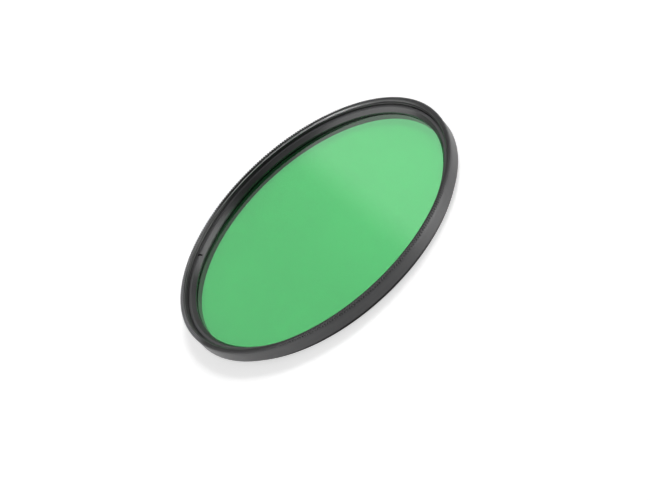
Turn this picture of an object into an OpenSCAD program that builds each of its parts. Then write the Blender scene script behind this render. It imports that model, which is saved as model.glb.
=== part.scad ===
// Screw-in colour filter for a camera lens.
// The optical axis is Z. The front of the filter faces +Z, the origin is the middle of the rear end face.

/* [Threads] */
// Nominal diameter of the front and the rear thread
thread_d = 77; // [40:0.1:95]
// Pitch of both threads
thread_pitch = 0.75; // [0.5:0.05:0.8]
// Height of the rear thread below the shoulder
rear_thread_h = 1.4; // [1.1:0.1:2.5]
// Width of the relief between the rear thread and the shoulder
relief_w = 0.4; // [0.2:0.05:0.5]
// Lead-in of the rear thread
rear_lead = 0.25; // [0.1:0.05:0.35]
// How much wider the mouth of the front thread is than the thread, on the radius
mouth_flare = 0.15; // [0.05:0.05:0.3]

/* [Outer ring] */
// Width of the rim, from the root of the front thread out to the tips of the grip teeth
rim_w = 1.2; // [1.1:0.05:3]
// Height of the outer wall, from the rear shoulder to the front face
wall_h = 3.6; // [3.2:0.1:6]
// Step from the tips of the teeth in to the smooth outer wall
wall_step = 0.1; // [0.02:0.02:0.2]
// Chamfer on the outer edges of the ring
edge_break = 0.12; // [0.06:0.02:0.18]
// Width of the ledge under the glass, in from the crest of the front thread
seat_w = 1.8; // [1:0.05:4]
// Material between the rear shoulder and the seat of the glass
seat_web = 0.3; // [0.2:0.05:0.8]

/* [Grip teeth] */
// Pitch of the teeth, measured over their tips
tooth_pitch = 0.693; // [0.6:0.001:1.5]
// Depth of a tooth
tooth_depth = 0.3; // [0.15:0.01:0.35]
// Width of the toothed band, down from the front face
tooth_band = 0.6; // [0.5:0.05:1.2]
// Share of a tooth's pitch taken by its flat tip
tip_share = 0.3; // [0.1:0.05:0.5]

/* [Glass] */
// Thickness of the glass
glass_t = 0.8; // [0.6:0.1:1.2]
// Radial gap between the glass and the crest of the front thread
glass_gap = 0.2; // [0.05:0.05:0.5]
// Chamfer on the rims of the glass
glass_chamfer = 0.1; // [0.05:0.01:0.2]

/* [Retaining ring] */
// Height of the retaining ring
retainer_h = 1.3; // [0.8:0.05:1.6]
// Width of the retaining ring, in from the crest of the front thread
retainer_w = 1.75; // [1.3:0.05:3]
// Width of its flat top, in from the crest of the front thread
retainer_flat = 0.85; // [0.3:0.05:1.1]
// Height of its upright inner edge, which presses on the glass
retainer_land = 0.42; // [0.1:0.02:0.6]
// Radial clearance of the retaining ring in its thread
retainer_gap = 0.03; // [0.01:0.01:0.1]
// Width of a spanner slot
slot_w = 0.5; // [0.3:0.05:1.5]
// Depth of a spanner slot, down from the flat top
slot_depth = 0.45; // [0.2:0.05:0.6]
// Bearing of the first spanner slot, the second lies opposite
slot_angle = 134.5; // [0:0.5:179.5]

/* [Hidden] */
$fn = 90;

// Radii
major_r = thread_d / 2;
crest_r = major_r - 0.5413 * thread_pitch;
relief_r = major_r - 0.65 * thread_pitch;
mouth_r = major_r + mouth_flare;
tip_r = major_r + rim_w;
root_r = tip_r - tooth_depth;
wall_r = tip_r - wall_step;
foot_r = root_r - 0.02;
core_r = root_r - tooth_depth;
clear_r = crest_r - seat_w;
glass_r = crest_r - glass_gap;
retainer_outer_r = major_r - retainer_gap;
retainer_inner_r = crest_r - retainer_w;
bevel_r = crest_r - retainer_flat;

// Grip teeth
teeth = round(2 * PI * tip_r / tooth_pitch);

// Heights above the rear end face
shoulder_z = rear_thread_h;
seat_z = shoulder_z + seat_web;
glass_top_z = seat_z + glass_t;
retainer_top_z = glass_top_z + retainer_h;
front_z = shoulder_z + wall_h;
mouth_z = front_z - (mouth_r - crest_r);
band_z = front_z - tooth_band;

// Section of the ring without its teeth: up the inside, then down the outside
module ring_section() {
    polygon([
        [clear_r, edge_break],
        [clear_r, seat_z],
        [major_r, seat_z],
        [major_r, retainer_top_z],
        [crest_r, retainer_top_z],
        [crest_r, mouth_z],
        [mouth_r, front_z],
        [core_r, front_z],
        [core_r, band_z],
        [foot_r, band_z],
        [wall_r, band_z - (wall_r - foot_r)],
        [wall_r, shoulder_z + edge_break],
        [wall_r - edge_break, shoulder_z],
        [relief_r, shoulder_z],
        [relief_r, shoulder_z - relief_w],
        [major_r, shoulder_z - relief_w],
        [major_r, rear_lead],
        [major_r - rear_lead, 0],
        [clear_r + edge_break, 0]
    ]);
}

// Outline of the toothed band, seen along the axis
module tooth_outline() {
    pitch_a = 360 / teeth;
    half_tip = tip_share * pitch_a / 2;
    polygon([
        for (i = [0 : teeth - 1])
            for (corner = [[tip_r, -half_tip], [tip_r, half_tip], [root_r, pitch_a / 2]])
                let (a = i * pitch_a + corner[1])
                    [corner[0] * cos(a), corner[0] * sin(a)]
    ]);
}

// Space that the toothed band fills, with the chamfer that runs across the front of the teeth
module band_envelope() {
    rotate_extrude()
        polygon([
            [core_r - tooth_depth, band_z],
            [tip_r + edge_break, band_z],
            [tip_r + edge_break, front_z - 2 * edge_break],
            [tip_r - edge_break, front_z],
            [core_r - tooth_depth, front_z]
        ]);
}

module grip_teeth() {
    intersection() {
        translate([0, 0, band_z - 1])
            linear_extrude(height = tooth_band + 2)
                tooth_outline();
        band_envelope();
    }
}

// Turned in one piece, with both threads drawn as plain walls:
// the front one at its crest, and at its major diameter where the retaining ring is screwed home
module filter_ring() {
    color([0.13, 0.13, 0.14])
        union() {
            rotate_extrude()
                ring_section();
            grip_teeth();
        }
}

module glass_disc() {
    color([0.36, 0.78, 0.46, 0.6])
        translate([0, 0, seat_z])
            rotate_extrude()
                polygon([
                    [0, 0],
                    [glass_r - glass_chamfer, 0],
                    [glass_r, glass_chamfer],
                    [glass_r, glass_t - glass_chamfer],
                    [glass_r - glass_chamfer, glass_t],
                    [0, glass_t]
                ]);
}

module retainer_section() {
    polygon([
        [retainer_inner_r, 0],
        [retainer_outer_r, 0],
        [retainer_outer_r, retainer_h],
        [bevel_r, retainer_h],
        [retainer_inner_r, retainer_land]
    ]);
}

// One spanner slot across the flat top, running out part-way down the bevel
module spanner_slot() {
    translate([retainer_inner_r - 1, -slot_w / 2, retainer_h - slot_depth])
        cube([retainer_outer_r - retainer_inner_r + 2, slot_w, slot_depth + 1]);
}

module retaining_ring() {
    color([0.17, 0.17, 0.18])
        translate([0, 0, glass_top_z])
            difference() {
                rotate_extrude()
                    retainer_section();
                for (side = [0, 180])
                    rotate([0, 0, slot_angle + side])
                        spanner_slot();
            }
}

filter_ring();
glass_disc();
retaining_ring();
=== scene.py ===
"""Visual model of a screw-in colour filter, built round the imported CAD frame.

Sizes are in millimetres, heights are above the rear end face, and every mesh is written in metres.
"""
import math
from collections import namedtuple

import bmesh
import bpy
from mathutils import Matrix, Vector


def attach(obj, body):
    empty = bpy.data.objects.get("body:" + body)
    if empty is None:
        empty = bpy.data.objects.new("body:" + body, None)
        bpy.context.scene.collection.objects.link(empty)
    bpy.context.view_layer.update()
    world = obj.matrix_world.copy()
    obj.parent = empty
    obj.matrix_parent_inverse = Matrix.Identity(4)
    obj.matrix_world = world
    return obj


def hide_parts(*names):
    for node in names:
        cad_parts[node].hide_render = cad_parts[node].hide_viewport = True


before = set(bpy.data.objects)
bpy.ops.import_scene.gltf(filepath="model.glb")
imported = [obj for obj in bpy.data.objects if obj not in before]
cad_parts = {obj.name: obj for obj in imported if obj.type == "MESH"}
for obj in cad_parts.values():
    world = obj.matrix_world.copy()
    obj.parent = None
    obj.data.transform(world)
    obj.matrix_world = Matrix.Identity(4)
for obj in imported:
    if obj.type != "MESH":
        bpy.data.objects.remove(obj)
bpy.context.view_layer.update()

MM = 0.001


# Sizes of the part, the same as in its source

PITCH = 0.75
MAJOR_R = 77 / 2
CREST_R = MAJOR_R - 0.5413 * PITCH
RELIEF_R = MAJOR_R - 0.65 * PITCH
RELIEF_W = 0.4
REAR_LEAD = 0.25
MOUTH_R = MAJOR_R + 0.15
TIP_R = MAJOR_R + 1.2
TOOTH_DEPTH = 0.3
ROOT_R = TIP_R - TOOTH_DEPTH
WALL_R = TIP_R - 0.1
CORE_R = ROOT_R - TOOTH_DEPTH
EDGE_BREAK = 0.12
CLEAR_R = CREST_R - 1.8
GLASS_R = CREST_R - 0.2
GLASS_CHAMFER = 0.1
HOLE_R = CREST_R - 1.75
BEVEL_R = CREST_R - 0.85
LAND_H = 0.42
RETAINER_GAP = 0.03
SLOT_W = 0.5
SLOT_DEPTH = 0.45
SLOT_ANGLE = 134.5
TEETH = 360

SHOULDER_Z = 1.4
SEAT_Z = SHOULDER_Z + 0.3
GLASS_TOP_Z = SEAT_Z + 0.8
RETAINER_TOP_Z = GLASS_TOP_Z + 1.3
FRONT_Z = SHOULDER_Z + 3.6
BAND_Z = FRONT_Z - 0.6

# Depth of the front thread's first full crest below the front face, at the far side of the ring
CREST_DEPTH = 0.66

# Height of a root of the rear thread at angle 0
REAR_ROOT_Z = 0.1

# Half widths of a metric thread's flats, as shares of its pitch
CREST_HALF = 1 / 8
ROOT_HALF = 1 / 16


# Small rounds on the turned edges

BORE_ROUND = 0.1
SEAT_ROUND = 0.04
MOUTH_ROUND = 0.03
WALL_ROUND = 0.08
RELIEF_ROUND = 0.06
LAND_ROUND = 0.03


# Camera: 31.7 degrees above the filter's plane, and rolled so that the filter stands aslant in the picture

ELEVATION = math.radians(31.69)
ROLL = math.radians(42.52)
PX_PER_MM = 4.164
DISTANCE_MM = 600.0
IMAGE_W, IMAGE_H = 650, 500
FRONT_CENTRE_PX = (311.8, 221.07)


def make_camera():
    data = bpy.data.cameras.new("camera")
    cam = bpy.data.objects.new("camera", data)
    bpy.context.scene.collection.objects.link(cam)
    bpy.context.scene.camera = cam
    data.sensor_width = 36.0
    data.lens = PX_PER_MM * DISTANCE_MM / IMAGE_W * data.sensor_width
    data.clip_start, data.clip_end = 0.01, 20.0

    look = Vector((0, math.cos(ELEVATION), -math.sin(ELEVATION)))
    level_right = Vector((1, 0, 0))
    level_up = level_right.cross(look)
    right = level_right * math.cos(ROLL) - level_up * math.sin(ROLL)
    up = level_right * math.sin(ROLL) + level_up * math.cos(ROLL)
    aside = (FRONT_CENTRE_PX[0] - IMAGE_W / 2) / PX_PER_MM
    above = (IMAGE_H / 2 - FRONT_CENTRE_PX[1]) / PX_PER_MM
    front_centre = Vector((0, 0, FRONT_Z))
    place = (front_centre - look * DISTANCE_MM - right * aside - up * above) * MM
    turn = Matrix((right, up, -look)).transposed().to_4x4()
    cam.matrix_world = Matrix.Translation(place) @ turn


# Meshes

# Points that lie closer than this, in metres, are one point
JOINED_M = 2e-7

# Columns of points round the glass and the retaining ring
COLUMNS = 360


def finish_mesh(name, verts, faces, sharp_deg=35):
    """Join the doubled points at the seams, shade smooth and keep the turned edges sharp."""
    mesh = bpy.data.meshes.new(name)
    mesh.from_pydata(verts, [], faces)
    bm = bmesh.new()
    bm.from_mesh(mesh)
    bmesh.ops.remove_doubles(bm, verts=bm.verts, dist=JOINED_M)
    bmesh.ops.dissolve_degenerate(bm, edges=bm.edges, dist=JOINED_M / 2)
    bmesh.ops.recalc_face_normals(bm, faces=bm.faces)
    bm.to_mesh(mesh)
    bm.free()
    mesh.polygons.foreach_set("use_smooth", [True] * len(mesh.polygons))
    mesh.set_sharp_from_angle(angle=math.radians(sharp_deg))
    obj = bpy.data.objects.new(name, mesh)
    bpy.context.scene.collection.objects.link(obj)
    return obj


def at(r, z, angle):
    """A point in metres, from its radius, height and angle round the axis."""
    return (r * math.cos(angle) * MM, r * math.sin(angle) * MM, z * MM)


def arc(cx, cz, r, start_deg, end_deg, n):
    """Points of a small round on an edge of a section."""
    angles = [math.radians(start_deg + (end_deg - start_deg) * i / n) for i in range(n + 1)]
    return [(cx + r * math.cos(t), cz + r * math.sin(t)) for t in angles]


def spread(z0, z1, step):
    """Even heights from z0 to z1, about a step apart."""
    n = max(1, round(abs(z1 - z0) / step))
    return [z0 + (z1 - z0) * i / n for i in range(n + 1)]


def strip(first, second, count):
    """Quads between two columns of points, given the index of each column's first point."""
    return [(first + k, second + k, second + k + 1, first + k + 1) for k in range(count - 1)]


def thread_wave(z, angle, root_z):
    """0 on a thread's crest and 1 on its root; root_z is the height of a root at angle 0."""
    turns = (z - root_z) / PITCH - angle / (2 * math.pi)
    from_root = abs(turns - round(turns))
    crest_edge = 1 / 2 - CREST_HALF
    return min(1.0, max(0.0, (crest_edge - from_root) / (crest_edge - ROOT_HALF)))


def female_r(z, angle):
    """Radius of the front thread, with a root half a pitch below the far side's first full crest."""
    root_z = FRONT_Z - CREST_DEPTH - PITCH / 2 - PITCH / 4
    return CREST_R + (MAJOR_R - CREST_R) * thread_wave(z, angle, root_z)


# The front thread is drawn coarsely where the retaining ring hides it, and finely above that
HIDDEN_STEP = 0.08
THREAD_STEP = 0.026
HIDDEN_ZS = spread(SEAT_Z + 0.02, RETAINER_TOP_Z - 0.15, HIDDEN_STEP)
MOUTH_ZS = spread(RETAINER_TOP_Z - 0.1, FRONT_Z - MOUTH_ROUND, THREAD_STEP)
REAR_ZS = spread(SHOULDER_Z - RELIEF_W + 0.05, 0.03, THREAD_STEP)

# Height where the rear thread's run-out leaves the relief, and how steeply it widens below that
RUNOUT_TOP_Z = SHOULDER_Z - RELIEF_W + 0.1
THREAD_RUNOUT = 1.7


# Points on a straight stretch of a section only keep its quads short

def ring_inside(angle):
    """Section of the ring from its rear face up the inside to the front face."""
    pts = arc(CLEAR_R + BORE_ROUND, BORE_ROUND, BORE_ROUND, 270, 180, 4)
    pts += [(CLEAR_R, 0.6), (CLEAR_R, 1.2)]
    pts += arc(CLEAR_R + SEAT_ROUND, SEAT_Z - SEAT_ROUND, SEAT_ROUND, 180, 90, 3)
    pts += [(CLEAR_R + 0.7, SEAT_Z), (CREST_R - 0.1, SEAT_Z)]
    for z in HIDDEN_ZS + MOUTH_ZS:
        flare = MOUTH_R - (FRONT_Z - z)
        pts.append((max(female_r(z, angle), flare), z))
    pts += arc(MOUTH_R + MOUTH_ROUND, FRONT_Z - MOUTH_ROUND, MOUTH_ROUND, 150, 90, 2)
    pts += [(MOUTH_R + 0.12, FRONT_Z)]
    return pts


def ring_outside(angle):
    """Section of the ring from below the teeth down the outer wall and rear thread to the rear face."""
    pts = [(WALL_R, 3.4), (WALL_R, 2.4)]
    pts += arc(WALL_R - WALL_ROUND, SHOULDER_Z + WALL_ROUND, WALL_ROUND, 0, -90, 4)
    pts += [(RELIEF_R + 0.9, SHOULDER_Z)]
    pts += arc(RELIEF_R + RELIEF_ROUND, SHOULDER_Z - RELIEF_ROUND, RELIEF_ROUND, 90, 180, 3)
    pts += [(RELIEF_R, RUNOUT_TOP_Z)]
    for z in REAR_ZS:
        male = MAJOR_R - (MAJOR_R - CREST_R) * thread_wave(z, angle, REAR_ROOT_Z)
        lead = MAJOR_R - REAR_LEAD + z
        runout = RELIEF_R + (RUNOUT_TOP_Z - z) * THREAD_RUNOUT
        pts.append((min(male, lead, max(runout, RELIEF_R)), z))
    pts += [(MAJOR_R - 0.3, 0.0), (CLEAR_R + 0.8, 0.0)]
    return pts


# How far the gaps between the teeth dip below the front face, as a share of how deep they are there
GAP_RUNOUT = 0.7

# How far a gap's foot slopes down, as a share of how deep it is
GAP_FOOT = 0.6

# Outline of one grip tooth, seen along the axis: radius and place in its pitch, with eased corners
TOOTH = [
    (TIP_R, -0.14), (TIP_R, 0.14), (TIP_R - 0.1, 0.27),
    (ROOT_R, 0.45), (ROOT_R, 0.55), (TIP_R - 0.1, 0.73),
]


def tooth_column(r, angle):
    """One column of the toothed band: front face, chamfer, flank and the start of the wall below.

    The gaps between the teeth run out on the front face, and points close together ease the corners.
    """
    chamfer_r = TIP_R - EDGE_BREAK
    face_r = min(r, chamfer_r)
    face_z = FRONT_Z - GAP_RUNOUT * (TIP_R - r)
    chamfer_z = face_z - max(r - chamfer_r, 0.0)
    gap = max(0.0, WALL_R - r)
    return [
        at(MOUTH_R + 0.2, FRONT_Z, angle),
        at(face_r - 0.03, face_z, angle),
        at(face_r, face_z - 0.01, angle),
        at(r, chamfer_z - 0.02, angle),
        at(r, BAND_Z + 0.3, angle),
        at(r, BAND_Z + 0.02 + GAP_FOOT * gap, angle),
        at(WALL_R - 0.01, BAND_Z - 0.02, angle),
        at(WALL_R, BAND_Z - 0.04, angle),
    ]


def make_ring():
    """One column of the turned section a tooth, joined to the finer columns of the toothed band."""
    verts, faces = [], []

    def add(points):
        verts.extend(points)
        return len(verts) - len(points)

    # One column more than there are teeth, so that the helical threads close at the seam
    angles = [2 * math.pi * i / TEETH for i in range(TEETH + 1)]
    n_in, n_out = len(ring_inside(0)), len(ring_outside(0))
    inner = [add([at(r, z, a) for r, z in ring_inside(a)]) for a in angles]
    outer = [add([at(r, z, a) for r, z in ring_outside(a)]) for a in angles]

    fine = []
    for tooth in range(TEETH):
        for r, share in TOOTH:
            fine.append(add(tooth_column(r, 2 * math.pi * (tooth + share) / TEETH)))
    n_band = len(tooth_column(TIP_R, 0))
    fine.append(fine[0])

    for i in range(TEETH):
        faces += strip(inner[i], inner[i + 1], n_in)
        faces += strip(outer[i], outer[i + 1], n_out)
        rear_in, rear_out = inner[i], outer[i] + n_out - 1
        faces.append((rear_out, outer[i + 1] + n_out - 1, inner[i + 1], rear_in))
        tops = fine[i * len(TOOTH):(i + 1) * len(TOOTH) + 1]
        faces.append((inner[i] + n_in - 1, inner[i + 1] + n_in - 1, *tops[::-1]))
        faces.append((outer[i + 1], outer[i], *[top + n_band - 1 for top in tops]))
    for one, other in zip(fine, fine[1:]):
        faces += strip(one, other, n_band)
    return finish_mesh("turned_ring", verts, faces)


# Step between the points of the retaining ring's thread, and how steeply its lead-in widens
RETAINER_STEP = 0.04
RETAINER_LEAD = 1.2


def retainer_section(angle, floor):
    """Section of the retaining ring; in a spanner slot its top is cut down to floor."""
    land_top = GLASS_TOP_Z + LAND_H
    pts = [(HOLE_R + LAND_ROUND, GLASS_TOP_Z), (HOLE_R, GLASS_TOP_Z + LAND_ROUND)]
    pts += [(HOLE_R, land_top - 0.01)]
    for share in (0.03, 0.25, 0.5, 0.75, 0.97):
        pts.append((HOLE_R + (BEVEL_R - HOLE_R) * share, land_top + (RETAINER_TOP_Z - land_top) * share))
    pts += [(BEVEL_R + 0.02, RETAINER_TOP_Z - 0.006), (BEVEL_R + 0.05, RETAINER_TOP_Z)]
    pts += [(BEVEL_R + 0.4, RETAINER_TOP_Z), (CREST_R - 0.22, RETAINER_TOP_Z)]
    lead_r, lead_z = CREST_R - 0.06, RETAINER_TOP_Z - 0.1
    pts += [(CREST_R - 0.14, RETAINER_TOP_Z - 0.02), (lead_r, lead_z)]
    for z in spread(RETAINER_TOP_Z - 0.12, GLASS_TOP_Z + 0.05, RETAINER_STEP):
        lead = lead_r + (lead_z - z) * RETAINER_LEAD
        pts.append((min(female_r(z, angle) - RETAINER_GAP, lead), z))
    pts += [(CREST_R - 0.3, GLASS_TOP_Z)]
    return [(r, min(z, floor)) for r, z in pts]


# A slot's upright side takes this much of a turn, in radians
UPRIGHT = 1e-7

# Plain columns keep this many of a slot's half widths away from its middle
SLOT_MARGIN = 1.3


def make_retainer():
    """Columns round the ring, with the two spanner slots as columns whose top is cut down."""
    half = SLOT_W / 2 / BEVEL_R
    cut, uncut = RETAINER_TOP_Z - SLOT_DEPTH, RETAINER_TOP_Z + 1
    slots = [math.radians(SLOT_ANGLE + turn) for turn in (0, 180)]
    columns = []
    for i in range(COLUMNS + 1):
        a = math.radians(i * 360 / COLUMNS)
        if all(abs(a - slot) > half * SLOT_MARGIN for slot in slots):
            columns.append((a, uncut))
    for slot in slots:
        columns += [(slot - half, uncut), (slot - half + UPRIGHT, cut), (slot, cut)]
        columns += [(slot + half - UPRIGHT, cut), (slot + half, uncut)]
    columns.sort()

    n = len(retainer_section(0, uncut))
    verts = [at(r, z, a) for a, floor in columns for r, z in retainer_section(a, floor)]
    faces = []
    for i in range(len(columns) - 1):
        first, second = i * n, (i + 1) * n
        faces += strip(first, second, n)
        faces.append((first + n - 1, second + n - 1, second, first))
    return finish_mesh("screwed_retaining_ring", verts, faces)


def make_glass():
    """Polished disc with a ground chamfer on each rim."""
    c = GLASS_CHAMFER
    section = [
        (GLASS_R - c, SEAT_Z),
        (GLASS_R - 0.01, SEAT_Z + c - 0.02),
        (GLASS_R, SEAT_Z + c + 0.02),
        (GLASS_R, GLASS_TOP_Z - c - 0.02),
        (GLASS_R - 0.01, GLASS_TOP_Z - c + 0.02),
        (GLASS_R - c, GLASS_TOP_Z),
    ]
    n = len(section)
    verts = [at(r, z, math.radians(i * 360 / COLUMNS)) for i in range(COLUMNS) for r, z in section]
    faces = []
    for i in range(COLUMNS):
        faces += strip(i * n, (i + 1) % COLUMNS * n, n)
    faces.append(tuple(i * n for i in reversed(range(COLUMNS))))
    faces.append(tuple(i * n + n - 1 for i in range(COLUMNS)))
    return finish_mesh("polished_glass", verts, faces, 30)


# Materials

def new_material(name):
    mat = bpy.data.materials.new(name)
    mat.use_nodes = True
    tree = mat.node_tree
    tree.nodes.clear()
    out = tree.nodes.new("ShaderNodeOutputMaterial")
    return mat, tree, out


def math_node(tree, operation, *inputs):
    """A Math node; each input is a socket or a number."""
    node = tree.nodes.new("ShaderNodeMath")
    node.operation = operation
    for socket, value in zip(node.inputs, inputs):
        if isinstance(value, (int, float)):
            socket.default_value = value
        else:
            tree.links.new(value, socket)
    return node.outputs[0]


def map_range(tree, value, from_min, from_max, to_min=0.0, to_max=1.0, smooth=False):
    node = tree.nodes.new("ShaderNodeMapRange")
    if smooth:
        node.interpolation_type = "SMOOTHSTEP"
    tree.links.new(value, node.inputs["Value"])
    node.inputs["From Min"].default_value = from_min
    node.inputs["From Max"].default_value = from_max
    node.inputs["To Min"].default_value = to_min
    node.inputs["To Max"].default_value = to_max
    return node.outputs[0]


def noise(tree, vector, scale, detail):
    node = tree.nodes.new("ShaderNodeTexNoise")
    node.inputs["Scale"].default_value = scale
    node.inputs["Detail"].default_value = detail
    tree.links.new(vector, node.inputs["Vector"])
    return node.outputs["Fac"]


def ramp(tree, value, low, high, low_at=0.3, high_at=0.7):
    node = tree.nodes.new("ShaderNodeValToRGB")
    elements = node.color_ramp.elements
    elements[0].position, elements[1].position = low_at, high_at
    elements[0].color, elements[1].color = (*low, 1), (*high, 1)
    tree.links.new(value, node.inputs[0])
    return node.outputs[0]


def product(tree, a, b):
    return math_node(tree, "MULTIPLY", a, b)


def larger(tree, a, b):
    return math_node(tree, "MAXIMUM", a, b)


def mix_colour(tree, factor, first, second):
    """Mix two colours; the second is a socket or a plain colour."""
    mix = tree.nodes.new("ShaderNodeMix")
    mix.data_type = "RGBA"
    factor_in, first_in, second_in = mix.inputs[0], mix.inputs[6], mix.inputs[7]
    tree.links.new(factor, factor_in)
    tree.links.new(first, first_in)
    if isinstance(second, tuple):
        second_in.default_value = (*second, 1)
    else:
        tree.links.new(second, second_in)
    return mix.outputs[2]


# Black anodised metal

# A point's place on a turned piece: its coordinates and its distance from the axis, as sockets
Place = namedtuple("Place", "coords x y z radius")

# Limits just past the part's own, for bands that have no end there
OUTSIDE_R = TIP_R + 1
BELOW_Z = -1
ABOVE_Z = FRONT_Z + 1

# Colour of the lip's bare metal, which also paints its highlight
BARE_METAL_HIGHLIGHT = (0.92, 0.92, 0.93)
RING_BASE = 0.005
RETAINER_BASE = 0.016
PALER_BASE = 0.055
# Base colour of the painted highlight on the grip teeth
TEETH_HIGHLIGHT_BASE = 0.26
RING_ROUGH = 0.32
RETAINER_ROUGH = 0.3
ROUGH_SPREAD = 0.06
PALER_EXTRA_ROUGH = 0.14
GROOVE_EXTRA_ROUGH = 0.5
BUMP_DISTANCE_M = 0.00002

# How fine the patterns are, as noise scales
MARKS_SCALE = 9000.0
GRAIN_SCALE = 2600.0
PATCHES_SCALE = 400.0
RING_CLOUDS_SCALE = 60.0
RETAINER_CLOUDS_SCALE = 67.0


def find_place(tree):
    coords = tree.nodes.new("ShaderNodeTexCoord").outputs["Object"]
    split = tree.nodes.new("ShaderNodeSeparateXYZ")
    tree.links.new(coords, split.inputs[0])
    x, y, z = split.outputs
    squares = math_node(tree, "ADD", product(tree, x, x), product(tree, y, y))
    return Place(coords, x, y, z, math_node(tree, "SQRT", squares))


def band(tree, value, low, high, soft):
    """1 where a length lies between low and high, in millimetres, with soft ends outside them."""
    rise = map_range(tree, value, (low - soft) * MM, low * MM, smooth=True)
    fall = map_range(tree, value, high * MM, (high + soft) * MM, 1.0, 0.0, smooth=True)
    return product(tree, rise, fall)


def zone(tree, place, radii, heights):
    """1 on a part of the section; radii and heights are each a low end, a high end and their softness."""
    return product(tree, band(tree, place.radius, *radii), band(tree, place.z, *heights))


def outer_surfaces(tree, place):
    """The outer wall and the rear thread, down to the rear face."""
    wall = zone(tree, place, (CORE_R, OUTSIDE_R, 0.1), (BELOW_Z, FRONT_Z - 0.1, 0.1))
    spigot = zone(tree, place, (RELIEF_R - 0.2, OUTSIDE_R, 0.1), (BELOW_Z, SHOULDER_Z, 0.05))
    return larger(tree, wall, spigot)


def teeth_highlight(tree, place):
    """Painted highlight on the grip teeth, at the two sides of the far half, where the light falls across
    them.

    These are the teeth's tips, and on the left also their ridges across the front face.
    """
    tips = zone(tree, place, (ROOT_R + 0.14, OUTSIDE_R, 0.04), (BAND_Z, ABOVE_Z, 0.1))
    face = zone(tree, place, (MOUTH_R + 0.05, OUTSIDE_R, 0.1), (FRONT_Z - 0.05, ABOVE_Z, 0.05))
    left = map_range(tree, place.x, -13 * MM, -18 * MM, smooth=True)
    tooth = product(tree, math_node(tree, "ARCTAN2", place.y, place.x), TEETH / (2 * math.pi))
    from_tip = math_node(tree, "PINGPONG", tooth, 0.5)
    ridges = map_range(tree, from_tip, 0.15, 0.35, 1.0, 0.0, smooth=True)
    ridges = product(tree, product(tree, face, left), ridges)
    sides = map_range(tree, math_node(tree, "ABSOLUTE", place.x), 12 * MM, 18 * MM, smooth=True)
    far_half = map_range(tree, place.y, -9 * MM, -2 * MM, smooth=True)
    return product(tree, larger(tree, tips, ridges), product(tree, sides, far_half))


def thread_grooves(tree, place):
    return zone(tree, place, (CREST_R + 0.12, MAJOR_R + 0.03, 0.06), (SEAT_Z, FRONT_Z - 0.3, 0.06))


def rubbed_lip_highlight(tree, place):
    """The thin lip at the mouth, bare metal in patches: worn, and a painted highlight that is strongest on
    the far side.
    """
    lip = zone(tree, place, (MAJOR_R - 0.14, MAJOR_R - 0.05, 0.02), (FRONT_Z - 0.5, ABOVE_Z, 0.04))
    # Painted highlight: the lip is barer towards the far side
    far = math_node(tree, "MULTIPLY_ADD", place.x, 0.26, product(tree, place.y, 0.966))
    highlight_side = map_range(tree, far, 27.5 * MM, 38 * MM, 0.1, 1.0, smooth=True)
    patches = noise(tree, place.coords, PATCHES_SCALE, 2.0)
    patchy = map_range(tree, patches, 0.3, 0.6, 0.75, 1.0, smooth=True)
    return product(tree, product(tree, lip, highlight_side), patchy)


def anodised_black(tree, cloud, base):
    """Black about as bright as base, a little cloudy and a little blue."""
    dark = (base * 0.75, base * 0.75, base * 0.78)
    pale = (base * 1.3, base * 1.3, base * 1.36)
    return ramp(tree, cloud, dark, pale, 0.3, 0.75)


def bump(tree, height, strength, under=None):
    node = tree.nodes.new("ShaderNodeBump")
    node.inputs["Strength"].default_value = strength
    node.inputs["Distance"].default_value = BUMP_DISTANCE_M
    tree.links.new(height, node.inputs["Height"])
    if under is not None:
        tree.links.new(under, node.inputs["Normal"])
    return node.outputs[0]


def turned_relief(tree, place, grain):
    """Fine turning marks round the axis, which depend on radius and height alone, under a light grain."""
    section = tree.nodes.new("ShaderNodeCombineXYZ")
    tree.links.new(place.radius, section.inputs[0])
    tree.links.new(place.z, section.inputs[1])
    marks = bump(tree, noise(tree, section.outputs[0], MARKS_SCALE, 3.0), 0.12)
    return bump(tree, grain, 0.1, under=marks)


def black_anodised(name, base, rough, cloud_scale, wear_and_highlights):
    """Satin black anodised aluminium with fine turning marks round the axis.

    The last argument takes the tree, the place, the clouds, and the colour and roughness so far. It returns
    the colour and roughness, worn and with painted highlights, and where the metal is bare.
    """
    mat, tree, out = new_material(name)
    new, link = tree.nodes.new, tree.links.new
    bsdf = new("ShaderNodeBsdfPrincipled")
    bsdf.inputs["IOR"].default_value = 1.6
    bsdf.inputs["Anisotropic"].default_value = 0.8
    bsdf.inputs["Anisotropic Rotation"].default_value = 0.25

    place = find_place(tree)
    grain = noise(tree, place.coords, GRAIN_SCALE, 5.0)
    cloud = noise(tree, place.coords, cloud_scale, 3.0)
    colour = anodised_black(tree, cloud, base)
    roughness = map_range(tree, grain, 0.0, 1.0, rough - ROUGH_SPREAD, rough + ROUGH_SPREAD)
    colour, roughness, bare = wear_and_highlights(tree, place, cloud, colour, roughness)
    link(colour, bsdf.inputs["Base Color"])
    link(roughness, bsdf.inputs["Roughness"])
    if bare is not None:
        link(bare, bsdf.inputs["Metallic"])
    link(turned_relief(tree, place, grain), bsdf.inputs["Normal"])

    tangent = new("ShaderNodeTangent")
    tangent.direction_type = "RADIAL"
    tangent.axis = "Z"
    link(tangent.outputs[0], bsdf.inputs["Tangent"])
    link(bsdf.outputs[0], out.inputs["Surface"])
    return mat


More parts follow.
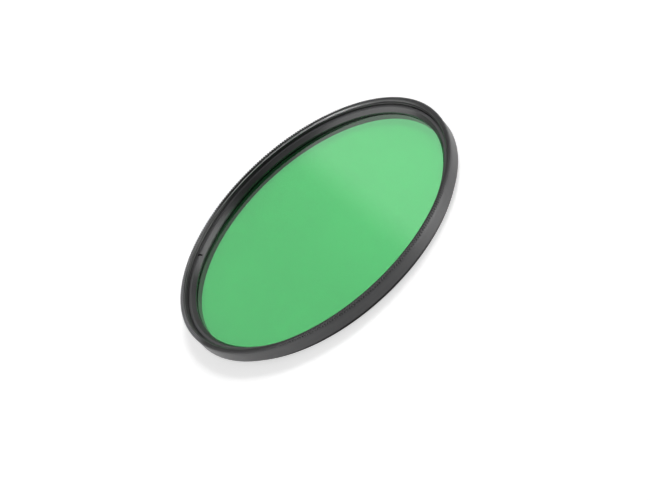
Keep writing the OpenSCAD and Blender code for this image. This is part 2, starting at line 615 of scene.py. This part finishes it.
def ring_wear_and_highlights(tree, place, cloud, colour, roughness):
    """The outer ring: paler and duller outside, a painted highlight on its teeth, bare metal with a painted
    highlight on its lip, and rough in its grooves.
    """
    paler = outer_surfaces(tree, place)
    bare = rubbed_lip_highlight(tree, place)
    colour = mix_colour(tree, paler, colour, anodised_black(tree, cloud, PALER_BASE))
    # Painted highlight: the grip teeth at the two sides of the far half are paler
    colour = mix_colour(tree, teeth_highlight(tree, place), colour, anodised_black(tree, cloud, TEETH_HIGHLIGHT_BASE))
    # Bare metal on the lip, partly worn and partly a painted highlight strongest on the far side
    colour = mix_colour(tree, bare, colour, BARE_METAL_HIGHLIGHT)
    grooves = thread_grooves(tree, place)
    roughness = math_node(tree, "MULTIPLY_ADD", grooves, GROOVE_EXTRA_ROUGH, roughness)
    roughness = math_node(tree, "MULTIPLY_ADD", paler, PALER_EXTRA_ROUGH, roughness)
    return colour, roughness, bare


def retainer_wear(tree, place, cloud, colour, roughness):
    """The retaining ring: its flat top is a little paler and duller, and nothing is bare."""
    paler = band(tree, place.z, RETAINER_TOP_Z - 0.01, ABOVE_Z, 0.04)
    colour = mix_colour(tree, paler, colour, anodised_black(tree, cloud, PALER_BASE))
    roughness = math_node(tree, "MULTIPLY_ADD", paler, PALER_EXTRA_ROUGH, roughness)
    return colour, roughness, None


# Green glass

GLASS_TINT = (0.085, 0.455, 0.165)
GLASS_IOR = 1.52
TINT_SPREAD = 0.015


def green_glass():
    """Dyed optical glass. Lamps shine through it with its tint."""
    mat, tree, out = new_material("green_glass")
    new, link = tree.nodes.new, tree.links.new
    bsdf = new("ShaderNodeBsdfPrincipled")
    bsdf.inputs["Transmission Weight"].default_value = 1.0
    bsdf.inputs["IOR"].default_value = GLASS_IOR
    coords = new("ShaderNodeTexCoord").outputs["Object"]
    cloud = noise(tree, coords, 35.0, 2.0)
    dark = [t * (1 - TINT_SPREAD) for t in GLASS_TINT]
    pale = [t * (1 + TINT_SPREAD) for t in GLASS_TINT]
    link(ramp(tree, cloud, dark, pale), bsdf.inputs["Base Color"])
    link(map_range(tree, cloud, 0.0, 1.0, 0.0, 0.03), bsdf.inputs["Roughness"])
    clear = new("ShaderNodeBsdfTransparent")
    # A shadow ray crosses two faces, so each takes the root of the tint
    clear.inputs["Color"].default_value = (*[math.sqrt(t) for t in GLASS_TINT], 1)
    mix = new("ShaderNodeMixShader")
    link(new("ShaderNodeLightPath").outputs["Is Shadow Ray"], mix.inputs[0])
    link(bsdf.outputs[0], mix.inputs[1])
    link(clear.outputs[0], mix.inputs[2])
    link(mix.outputs[0], out.inputs["Surface"])
    return mat


# Studio: a white floor in a grey tent that is paler at its two sides, one soft box, and reflectors round it

FLOOR_HALF_M = 3.0
FLOOR_COLOUR = 0.8
FLOOR_WHITE = 0.6
FLOOR_WHITE_IN_GLOSS = 0.95
TENT_MIDDLE = 0.25
TENT_SIDES = 0.75
TENT_FALLOFF = 1.5
LAMP_DISTANCE_M = 0.9
CARD_DISTANCE_M = 0.99

# Painted shade on the floor seen through the glass: its white there is lower at the left of the filter than
# at the right, where light falls on it
SHADED_WHITE_THROUGH_GLASS = 0.74, 0.98
LEFT_X, RIGHT_X = -15, 30

# Reflectors, and black flags at level 0: name, bearing and height in degrees, width and height that they
# span in degrees, level, and the share of their half width that fades out
CARDS = [
    ("right_reflector", -10, 40, 46, 38, 3.2, 0.2),
    ("low_right_reflector", -32, 7, 46, 14, 14.0, 0.35),
    ("left_reflector", 168, 38, 84, 42, 2.4, 0.2),
    ("upper_left_reflector", 128, 54, 64, 18, 1.6, 0.15),
    ("upper_right_reflector", 42, 50, 50, 18, 1.1, 0.2),
    ("front_reflector", -118, 57, 40, 18, 1.0, 0.3),
    ("back_strip", 66.5, 32, 48, 11, 1.3, 0.12),
    ("back_strip_dim", 104.5, 32, 30, 11, 0.65, 0.1),
    ("top_flag", 84, 64, 22, 50, 0.0, 0.2),
    ("back_flag", 91, 13, 30, 24, 0.0, 0.1),
]


def link_new(obj_name, data):
    obj = bpy.data.objects.new(obj_name, data)
    bpy.context.scene.collection.objects.link(obj)
    return obj


def flat_mesh(name, half_width, half_height):
    """A rectangle round its own origin, facing +Z."""
    w, h = half_width, half_height
    mesh = bpy.data.meshes.new(name)
    mesh.from_pydata([(-w, -h, 0), (w, -h, 0), (w, h, 0), (-w, h, 0)], [], [(0, 1, 2, 3)])
    return mesh


def make_floor():
    """White floor. A part of its white is only seen: by the camera, in gloss and through glass, where
    painted shade darkens it to the left.
    """
    mesh = flat_mesh("floor", FLOOR_HALF_M, FLOOR_HALF_M)
    floor = link_new("floor", mesh)
    mat, tree, out = new_material("white_floor")
    new, link = tree.nodes.new, tree.links.new
    diffuse = new("ShaderNodeBsdfDiffuse")
    diffuse.inputs["Color"].default_value = (FLOOR_COLOUR,) * 3 + (1,)

    path = new("ShaderNodeLightPath")
    through_glass = path.outputs["Is Transmission Ray"]
    # A ray through glass counts as glossy too
    in_gloss = math_node(tree, "SUBTRACT", path.outputs["Is Glossy Ray"], through_glass)
    split = new("ShaderNodeSeparateXYZ")
    link(new("ShaderNodeTexCoord").outputs["Object"], split.inputs[0])
    x = split.outputs[0]
    # Painted shade: seen through the glass, the floor is darker to the left
    painted_shade_behind_glass = map_range(tree, x, LEFT_X * MM, RIGHT_X * MM, *SHADED_WHITE_THROUGH_GLASS, smooth=True)
    white = product(tree, path.outputs["Is Camera Ray"], FLOOR_WHITE)
    white = larger(tree, white, product(tree, in_gloss, FLOOR_WHITE_IN_GLOSS))
    white = larger(tree, white, product(tree, through_glass, painted_shade_behind_glass))

    glow = new("ShaderNodeEmission")
    link(white, glow.inputs["Strength"])
    both = new("ShaderNodeAddShader")
    link(diffuse.outputs[0], both.inputs[0])
    link(glow.outputs[0], both.inputs[1])
    link(both.outputs[0], out.inputs["Surface"])
    mesh.materials.append(mat)


def make_tent():
    world = bpy.data.worlds.new("tent")
    bpy.context.scene.world = world
    world.use_nodes = True
    tree = world.node_tree
    tree.nodes.clear()
    new, link = tree.nodes.new, tree.links.new
    split = new("ShaderNodeSeparateXYZ")
    link(new("ShaderNodeTexCoord").outputs["Generated"], split.inputs[0])
    sideways = math_node(tree, "POWER", math_node(tree, "ABSOLUTE", split.outputs[0]), TENT_FALLOFF)
    level = map_range(tree, sideways, 0.0, 1.0, TENT_MIDDLE, TENT_SIDES)
    wall = new("ShaderNodeBackground")
    link(level, wall.inputs["Strength"])
    out = new("ShaderNodeOutputWorld")
    link(wall.outputs[0], out.inputs["Surface"])


def aim(obj, azimuth, elevation, distance):
    """Put an object out at a bearing from the filter and turn its -Z side to it."""
    a, e = math.radians(azimuth), math.radians(elevation)
    back = Vector((math.cos(a) * math.cos(e), math.sin(a) * math.cos(e), math.sin(e)))
    obj.location = back * distance
    obj.rotation_mode = "QUATERNION"
    obj.rotation_quaternion = (-back).to_track_quat("-Z", "Y")


def span(angle, distance):
    """The width that fills an angle in degrees at a distance."""
    return 2 * distance * math.tan(math.radians(angle) / 2)


def soft_box(name, azimuth, elevation, width, height, level):
    """A lamp of even brightness, out of the gloss; its width and height are the angles it spans."""
    data = bpy.data.lights.new(name, "AREA")
    data.shape = "RECTANGLE"
    data.size, data.size_y = span(width, LAMP_DISTANCE_M), span(height, LAMP_DISTANCE_M)
    data.energy = level * math.pi * data.size * data.size_y
    lamp = link_new(name, data)
    lamp.visible_camera = False
    lamp.visible_glossy = False
    aim(lamp, azimuth, elevation, LAMP_DISTANCE_M)


def card(name, azimuth, elevation, width, height, level, feather):
    """A reflector or a black flag that is seen only in gloss and fades out at its edges."""
    w, h = span(width, CARD_DISTANCE_M) / 2, span(height, CARD_DISTANCE_M) / 2
    mesh = flat_mesh(name, w, h)
    obj = link_new(name, mesh)
    aim(obj, azimuth, elevation, CARD_DISTANCE_M)
    mat, tree, out = new_material(name)
    new, link = tree.nodes.new, tree.links.new
    split = new("ShaderNodeSeparateXYZ")
    link(new("ShaderNodeTexCoord").outputs["Object"], split.inputs[0])
    fades = []
    for across, half in zip(split.outputs, (w, h)):
        from_middle = math_node(tree, "ABSOLUTE", across)
        fades.append(map_range(tree, from_middle, half * (1 - feather), half, 1.0, 0.0, smooth=True))
    glow = new("ShaderNodeEmission")
    glow.inputs["Strength"].default_value = level
    mix = new("ShaderNodeMixShader")
    link(product(tree, *fades), mix.inputs[0])
    link(new("ShaderNodeBsdfTransparent").outputs[0], mix.inputs[1])
    link(glow.outputs[0], mix.inputs[2])
    link(mix.outputs[0], out.inputs["Surface"])
    mesh.materials.append(mat)
    obj.visible_camera = False
    obj.visible_diffuse = False
    obj.visible_shadow = False
    obj.visible_transmission = False


make_camera()

ring = make_ring()
ring.data.materials.append(
    black_anodised("ring_black", RING_BASE, RING_ROUGH, RING_CLOUDS_SCALE, ring_wear_and_highlights))
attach(ring, "root")
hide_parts("filter_ring")

retainer = make_retainer()
retainer.data.materials.append(
    black_anodised("retainer_black", RETAINER_BASE, RETAINER_ROUGH, RETAINER_CLOUDS_SCALE, retainer_wear))
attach(retainer, "root")
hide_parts("retaining_ring")

glass = make_glass()
glass.data.materials.append(green_glass())
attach(glass, "root")
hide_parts("glass_disc")

make_floor()
make_tent()
soft_box("key_light", 28, 50, 24, 18, 10.5)
for row in CARDS:
    card(*row)

bpy.context.scene.view_settings.view_transform = "Standard"
